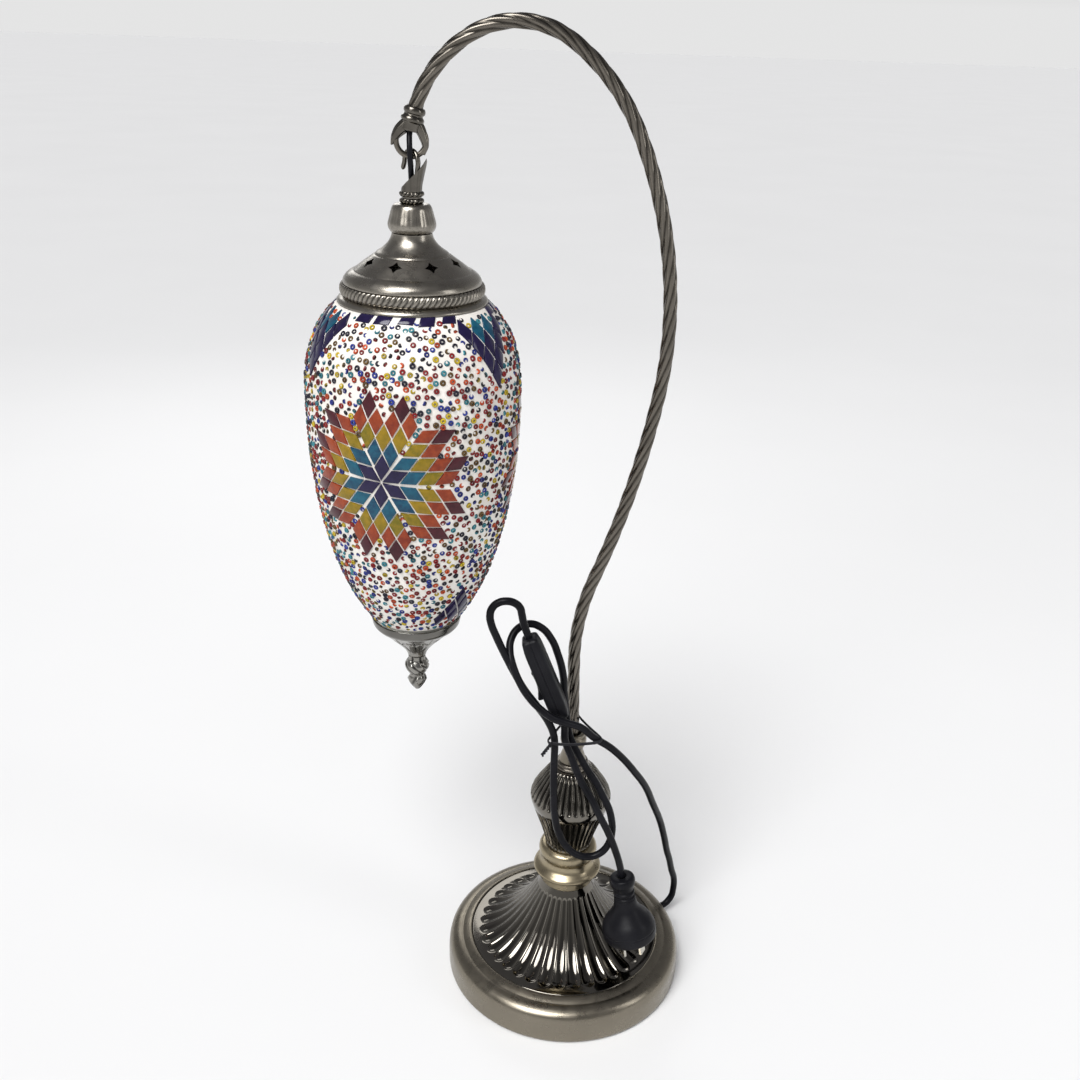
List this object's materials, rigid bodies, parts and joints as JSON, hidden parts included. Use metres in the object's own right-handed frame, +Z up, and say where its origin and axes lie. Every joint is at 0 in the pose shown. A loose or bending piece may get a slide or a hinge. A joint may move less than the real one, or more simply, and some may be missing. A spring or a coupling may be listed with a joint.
{
  "type": "mosaic glass table lamp",
  "caption": "Table lamp with a round fluted base, an urn stem, a swan-neck arm and a drop-shaped mosaic glass shade that hangs from a hook; plug-in cord with an in-line switch.",
  "frame": {"origin": "centre of the round base, on the surface that the lamp stands on", "axes": "+Z up; the arm lies in the XZ plane and the shade hangs towards -X; the front, with the cord bundle, is -Y"},
  "size_m": [0.2629, 0.17, 0.6487],
  "materials": {
    "felt": "matt felt",
    "cast_iron": "as cast",
    "antique_brushed": "brushed antique pewter brass",
    "black_nickel": "polished black nickel",
    "antique_brass": "brushed antique brass",
    "bronze": "satin dark bronze",
    "aged_nickel": "silvery nickel, dark in the recesses",
    "zinc_steel": "zinc plated",
    "cord_pvc": "satin black",
    "black_plastic": "satin black",
    "plug_brass": "nickel plated",
    "frosted_glass": "clear blown glass with a white ground",
    "bulb_opal": "opal",
    "mosaic": "coloured glass chips and beads in white grout",
    "silicone": "matt"
  },
  "bodies": {
    "root": {"felt_pad": "felt", "base_weight": "cast_iron", "base_pan": "antique_brushed", "base_dome": "black_nickel", "base_nut": "zinc_steel", "base_washer": "zinc_steel", "tie_rod": "zinc_steel", "cord_grommet": "black_plastic", "stem_collar": "antique_brass", "stem_knop": "black_nickel", "neck_ring": "bronze", "stem_neck": "antique_brushed", "arm_socket": "antique_brushed", "socket_screw": "bronze", "arm_tube": "bronze", "tip_ferrule": "aged_nickel", "tip_claws": "antique_brushed", "tip_ring": "bronze", "inner_lead": "cord_pvc", "main_cord": "cord_pvc", "plug_lead": "cord_pvc", "switch_back": "black_plastic", "switch_front": "black_plastic", "switch_pin": "zinc_steel", "plug_body": "black_plastic", "plug_sleeve": "black_plastic", "plug_pins": "plug_brass", "cord_tie": "black_plastic"},
    "lead": {"hanger_lead": "cord_pvc"},
    "shade": {"hanger_hook": "aged_nickel", "hanger_cuff": "antique_brushed", "nipple": "zinc_steel", "top_knob": "bronze", "shade_cap": "antique_brushed", "cap_washer": "zinc_steel", "cap_nut": "zinc_steel", "cap_gasket": "silicone", "holder_cap": "black_plastic", "holder_shell": "black_plastic", "bulb_base": "zinc_steel", "bulb_glass": "bulb_opal", "glass_shade": "frosted_glass", "mosaic_skin": "mosaic", "cup_gasket": "silicone", "finial_cup": "aged_nickel", "finial": "aged_nickel", "finial_bolt": "zinc_steel", "bolt_washer": "black_plastic", "bolt_nut": "zinc_steel"},
    "rocker": {"switch_rocker": "black_plastic"}
  },
  "joints": [
    {"name": "swing_side", "type": "hinge", "parent": "root", "child": "lead", "pos_m": [-0.107, 0, 0.5735], "axis": [-1, 0, 0], "range_deg": [-6, 6], "deforming": ["hanger_lead"]},
    {"name": "swing_arm", "type": "hinge", "parent": "lead", "child": "shade", "pos_m": [-0.107, 0, 0.5735], "axis": [0, 1, 0], "range_deg": [0, 6]},
    {"name": "switch_rock", "type": "hinge", "parent": "root", "child": "rocker", "pos_m": [-0.02457, -0.021, 0.25015], "axis": [0, -1, 0], "range_deg": [0, 14]}
  ]
}
